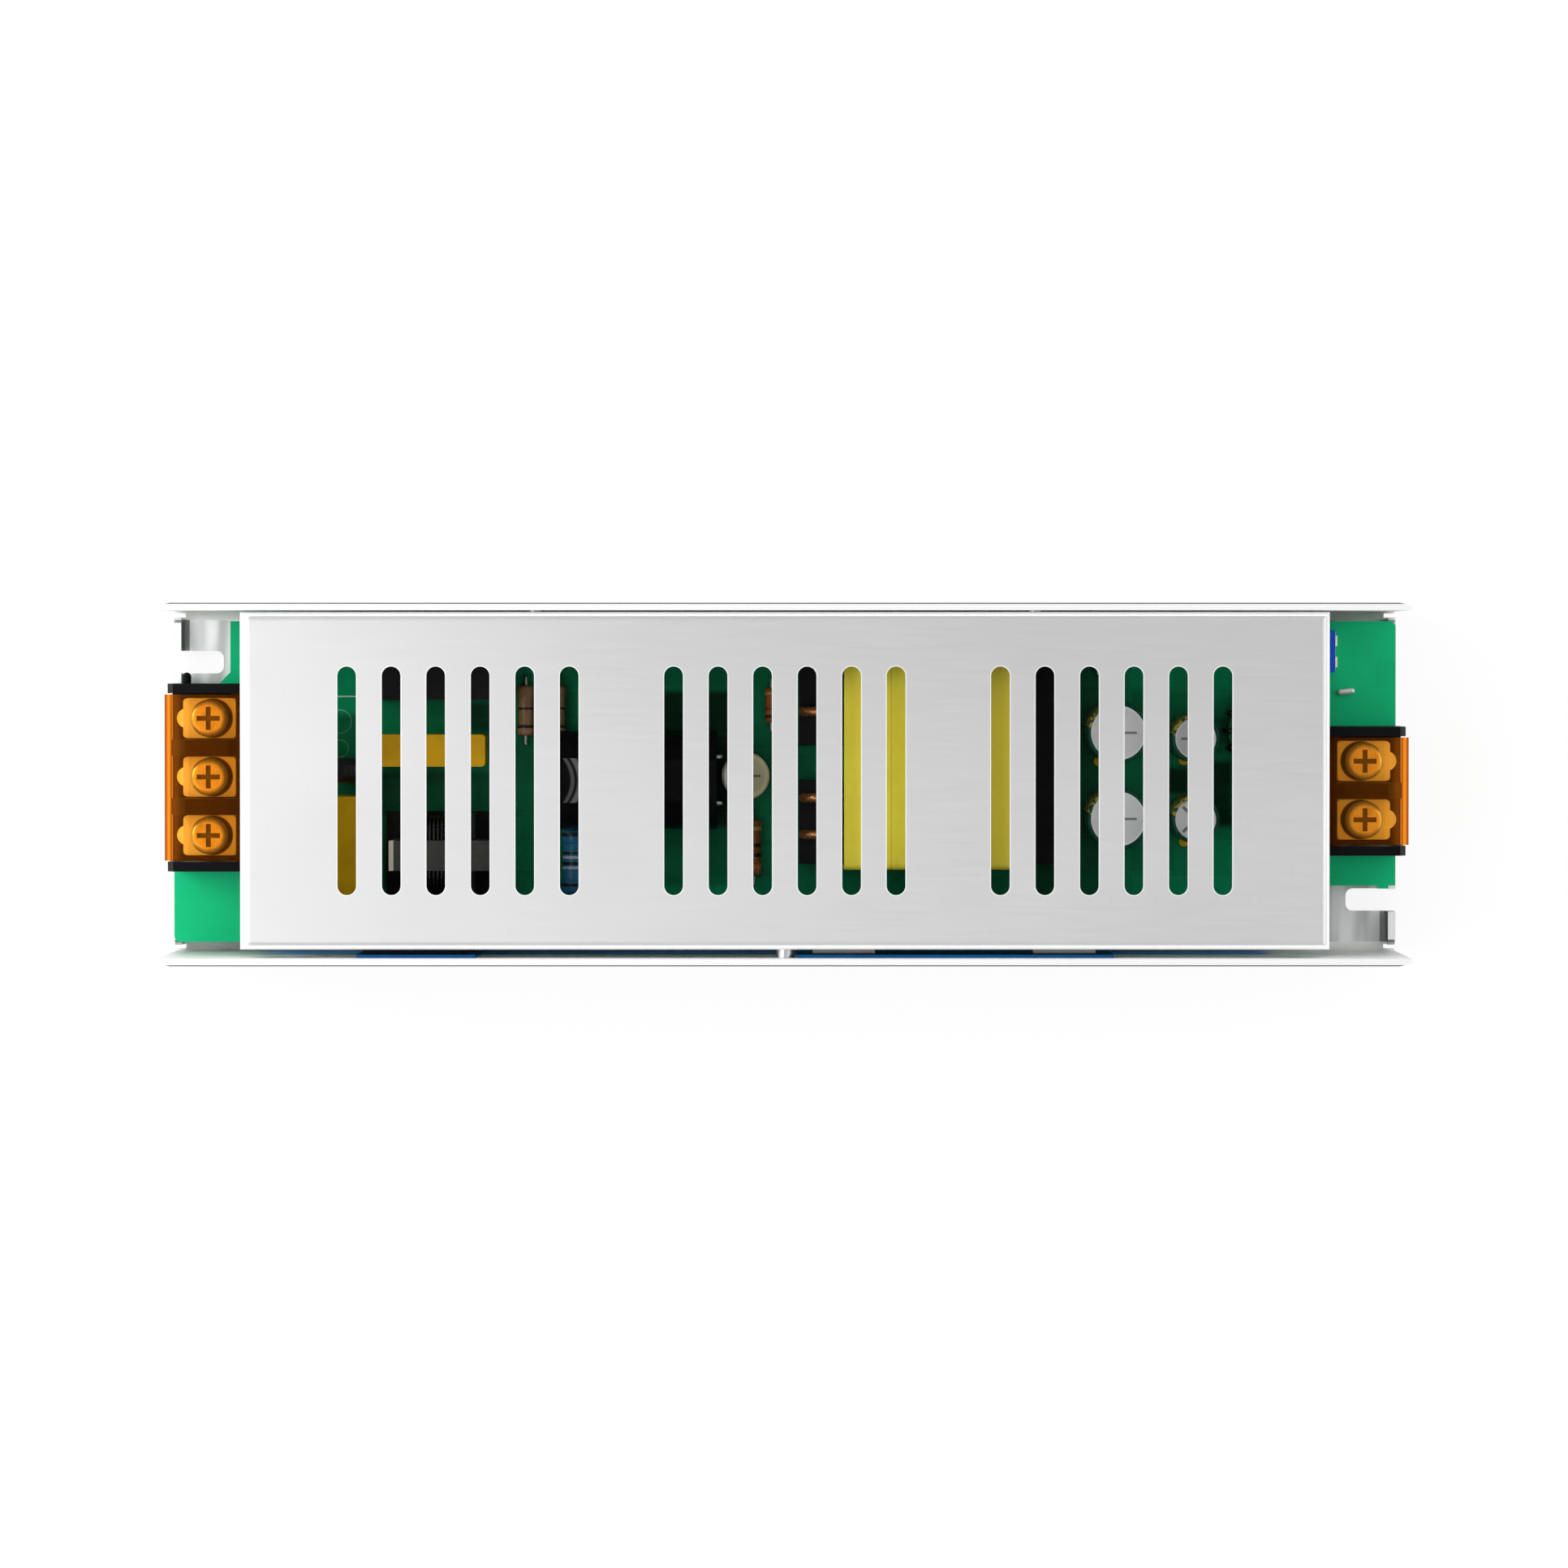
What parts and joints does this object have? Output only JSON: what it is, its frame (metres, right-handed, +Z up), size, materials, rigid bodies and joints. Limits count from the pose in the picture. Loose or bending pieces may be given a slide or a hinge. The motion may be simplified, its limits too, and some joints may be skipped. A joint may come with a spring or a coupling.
{
  "type": "led power supply",
  "caption": "Slim folded-aluminium power supply with a slotted cover over its circuit board and amber-flapped screw terminals at both ends, made to turn mains into low voltage for light strips.",
  "frame": {"origin": "on the mounting surface under the middle of the channel", "axes": "+X runs from the input terminals to the output terminals, +Z is up out of the open side, metres"},
  "size_m": [0.2006, 0.058, 0.038],
  "materials": {
    "case_sheet": "bright folded sheet",
    "cover_sheet": "satin folded sheet",
    "small_screws": "zinc plated",
    "film": "thin insulating film",
    "post": "plain steel",
    "board": "green solder mask",
    "tinned_wire": "tinned wire",
    "terminal_body": "black moulding",
    "contact": "nickel plated",
    "flap": "clear amber moulding",
    "clamp": "nickel plated",
    "terminal_screw": "nickel plated",
    "black_moulding": "black moulding",
    "thermistor": "dipped black",
    "line_film": "mustard box",
    "filter_film": "yellow box",
    "ferrite": "grey ferrite",
    "copper": "enamelled copper",
    "black_case": "moulded black",
    "bulk_sleeve": "black shrink sleeve",
    "tan_resistor": "tan lacquer",
    "blue_resistor": "blue lacquer",
    "brown_resistor": "brown lacquer",
    "green_sleeve": "dark green shrink sleeve",
    "blue_disc": "dipped blue",
    "pad": "blue silicone",
    "tape": "yellow tape",
    "ring_core": "painted iron powder",
    "ring_wire": "dark enamelled wire",
    "trimmer": "blue moulding",
    "trimmer_turn": "cream moulding"
  },
  "bodies": {
    "case": {"base_channel": "case_sheet", "top_cover": "cover_sheet", "cover_screws": "small_screws", "board_screws": "small_screws", "device_screws": "small_screws", "insulating_sheet": "film", "board_standoffs": "post", "circuit_board": "board", "wire_link": "tinned_wire", "input_terminal_block": "terminal_body", "output_terminal_block": "terminal_body", "input_contacts": "contact", "output_contacts": "contact", "fuse_holder": "black_moulding", "choke_bobbin": "black_moulding", "transformer_bobbin": "black_moulding", "inrush_thermistor": "thermistor", "line_capacitor": "line_film", "filter_capacitor": "filter_film", "choke_core": "ferrite", "transformer_core": "ferrite", "choke_windings": "copper", "transformer_winding": "copper", "transformer_leads": "copper", "rectifier_bridge": "black_case", "switching_transistor": "black_case", "output_rectifier": "black_case", "control_chip": "black_case", "optocoupler": "black_case", "bulk_capacitor": "bulk_sleeve", "bleeder_resistors": "tan_resistor", "snubber_resistor": "blue_resistor", "damping_resistor": "brown_resistor", "sense_resistor": "brown_resistor", "startup_capacitor": "green_sleeve", "output_capacitors_large": "green_sleeve", "output_capacitors_small": "green_sleeve", "safety_capacitor": "blue_disc", "heat_pads": "pad", "transformer_sleeve": "tape", "output_choke_core": "ring_core", "output_choke_winding": "ring_wire", "trimmer_body": "trimmer"},
    "input_flap": {"input_flap": "flap"},
    "output_flap": {"output_flap": "flap"},
    "trimmer_rotor": {"trimmer_rotor": "trimmer_turn"},
    "line_clamp": {"line_clamp": "clamp"},
    "line_screw": {"line_screw": "terminal_screw"},
    "neutral_clamp": {"neutral_clamp": "clamp"},
    "neutral_screw": {"neutral_screw": "terminal_screw"},
    "earth_clamp": {"earth_clamp": "clamp"},
    "earth_screw": {"earth_screw": "terminal_screw"},
    "positive_clamp": {"positive_clamp": "clamp"},
    "positive_screw": {"positive_screw": "terminal_screw"},
    "negative_clamp": {"negative_clamp": "clamp"},
    "negative_screw": {"negative_screw": "terminal_screw"}
  },
  "joints": [
    {"name": "input_flap_hinge", "type": "hinge", "parent": "case", "child": "input_flap", "pos_m": [-0.0885, 0.0009, 0.0234], "axis": [0, 1, 0], "range_deg": [0, 90]},
    {"name": "output_flap_hinge", "type": "hinge", "parent": "case", "child": "output_flap", "pos_m": [0.0891, -0.0013, 0.0234], "axis": [0, -1, 0], "range_deg": [0, 90]},
    {"name": "trimmer_turn", "type": "hinge", "parent": "case", "child": "trimmer_rotor", "pos_m": [0.08615, 0.02125, 0.0125], "axis": [0, 0, 1], "range_deg": [-135, 135]},
    {"name": "line_clamp_lift", "type": "slide", "parent": "case", "child": "line_clamp", "axis": [0, 0, 1], "range_m": [0, 0.004]},
    {"name": "line_screw_turn", "type": "hinge", "parent": "line_clamp", "child": "line_screw", "pos_m": [-0.09345, 0.0104, 0.015], "axis": [0, 0, 1], "range_deg": [0, 2400]},
    {"name": "neutral_clamp_lift", "type": "slide", "parent": "case", "child": "neutral_clamp", "axis": [0, 0, 1], "range_m": [0, 0.004]},
    {"name": "neutral_screw_turn", "type": "hinge", "parent": "neutral_clamp", "child": "neutral_screw", "pos_m": [-0.09345, 0.0009, 0.015], "axis": [0, 0, 1], "range_deg": [0, 2400]},
    {"name": "earth_clamp_lift", "type": "slide", "parent": "case", "child": "earth_clamp", "axis": [0, 0, 1], "range_m": [0, 0.004]},
    {"name": "earth_screw_turn", "type": "hinge", "parent": "earth_clamp", "child": "earth_screw", "pos_m": [-0.09345, -0.0086, 0.015], "axis": [0, 0, 1], "range_deg": [0, 2400]},
    {"name": "positive_clamp_lift", "type": "slide", "parent": "case", "child": "positive_clamp", "axis": [0, 0, 1], "range_m": [0, 0.004]},
    {"name": "positive_screw_turn", "type": "hinge", "parent": "positive_clamp", "child": "positive_screw", "pos_m": [0.09405, 0.00345, 0.015], "axis": [0, 0, 1], "range_deg": [0, 2400]},
    {"name": "negative_clamp_lift", "type": "slide", "parent": "case", "child": "negative_clamp", "axis": [0, 0, 1], "range_m": [0, 0.004]},
    {"name": "negative_screw_turn", "type": "hinge", "parent": "negative_clamp", "child": "negative_screw", "pos_m": [0.09405, -0.00605, 0.015], "axis": [0, 0, 1], "range_deg": [0, 2400]}
  ],
  "couplings": [
    {"joint": "line_screw_turn", "follows": "line_clamp_lift", "rad_per_m": 10472},
    {"joint": "neutral_screw_turn", "follows": "neutral_clamp_lift", "rad_per_m": 10472},
    {"joint": "earth_screw_turn", "follows": "earth_clamp_lift", "rad_per_m": 10472},
    {"joint": "positive_screw_turn", "follows": "positive_clamp_lift", "rad_per_m": 10472},
    {"joint": "negative_screw_turn", "follows": "negative_clamp_lift", "rad_per_m": 10472}
  ]
}
